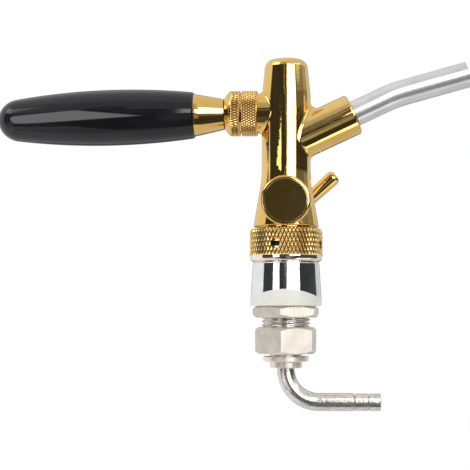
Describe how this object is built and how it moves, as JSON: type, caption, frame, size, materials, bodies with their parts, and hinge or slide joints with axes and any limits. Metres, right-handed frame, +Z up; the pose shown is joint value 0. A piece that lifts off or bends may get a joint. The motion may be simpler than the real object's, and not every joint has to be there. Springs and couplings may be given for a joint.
{
  "type": "beer faucet",
  "caption": "Wall-mounted beer tap with a tilting lever handle, side flow control, angled spout tube, short threaded shank with nuts, saddle collar and a bent hose tail.",
  "frame": {"origin": "on the shank's axis at the wall seat, the flat back of the saddle washer", "axes": "+Y along the shank into the wall, nose towards -Y; +Z up along the closed lever, spout downwards; +X the side of the flow lever"},
  "size_m": [0.042, 0.1675, 0.2272],
  "materials": {
    "gold": "polished gold plating",
    "gold_knurled": "knurled gold plating",
    "brass": "turned",
    "steel": "turned",
    "spout_steel": "satin polished",
    "nickel": "satin nickel plating",
    "chrome": "mirror",
    "nylon": "moulded",
    "white_plastic": "moulded",
    "seal": "smooth",
    "handle_black": "high gloss"
  },
  "bodies": {
    "faucet": {"faucet_body": "gold", "side_cap": "gold", "side_cap_seal": "seal", "flow_gland": "gold", "snap_ring": "steel", "coupling_gasket": "seal", "shank": "nickel", "shank_collar": "chrome", "saddle_washer": "nylon", "tail_gasket": "seal", "spout_tube": "spout_steel", "spout_seals": "seal", "ball_seat": "white_plastic", "ball_washer": "seal", "bonnet": "gold_knurled", "ball_cap": "gold_knurled"},
    "lever": {"lever": "steel", "handle_ferrule": "gold", "handle": "handle_black", "handle_insert": "brass"},
    "valve_shaft": {"valve_shaft": "steel", "seat_washer": "seal", "shaft_nut": "steel"},
    "flow_control": {"flow_spindle": "steel", "spindle_seal": "seal", "flow_knob": "gold", "knob_screw": "steel", "flow_lever": "gold"},
    "compensator": {"compensator": "white_plastic"},
    "coupling_nut": {"coupling_nut": "gold_knurled"},
    "lock_nut": {"lock_nut": "nickel"},
    "tail_nut": {"tail_nut": "nickel"},
    "tail": {"tail_sleeve": "nickel", "tail_ring": "nickel", "tail_elbow": "nickel"}
  },
  "joints": [
    {"name": "lever_tilt", "type": "hinge", "parent": "faucet", "child": "lever", "pos_m": [0, -0.0921, 0.0175], "axis": [1, 0, 0], "range_deg": [0, 18]},
    {"name": "valve_slide", "type": "slide", "parent": "faucet", "child": "valve_shaft", "axis": [0, 1, 0], "range_m": [0, 0.00552]},
    {"name": "flow_lever_turn", "type": "hinge", "parent": "faucet", "child": "flow_control", "pos_m": [0, -0.0491, 0], "axis": [1, 0, 0], "range_deg": [-45, 45]},
    {"name": "compensator_slide", "type": "slide", "parent": "faucet", "child": "compensator", "axis": [0, 1, 0], "range_m": [-0.00198, 0.00198]},
    {"name": "coupling_nut_turn", "type": "hinge", "parent": "faucet", "child": "coupling_nut", "pos_m": [0, -0.029, 0], "axis": [0, 1, 0], "continuous": true},
    {"name": "lock_nut_travel", "type": "slide", "parent": "faucet", "child": "lock_nut", "axis": [0, 1, 0], "range_m": [0, 0.0042]},
    {"name": "tail_nut_turn", "type": "hinge", "parent": "faucet", "child": "tail_nut", "pos_m": [0, 0.016, 0], "axis": [0, 1, 0], "continuous": true},
    {"name": "tail_swivel", "type": "hinge", "parent": "faucet", "child": "tail", "pos_m": [0, 0.025, 0], "axis": [0, 1, 0], "continuous": true}
  ],
  "couplings": [
    {"joint": "valve_slide", "follows": "lever_tilt", "m_per_rad": 0.0175},
    {"joint": "compensator_slide", "follows": "flow_lever_turn", "m_per_rad": -0.0025}
  ]
}
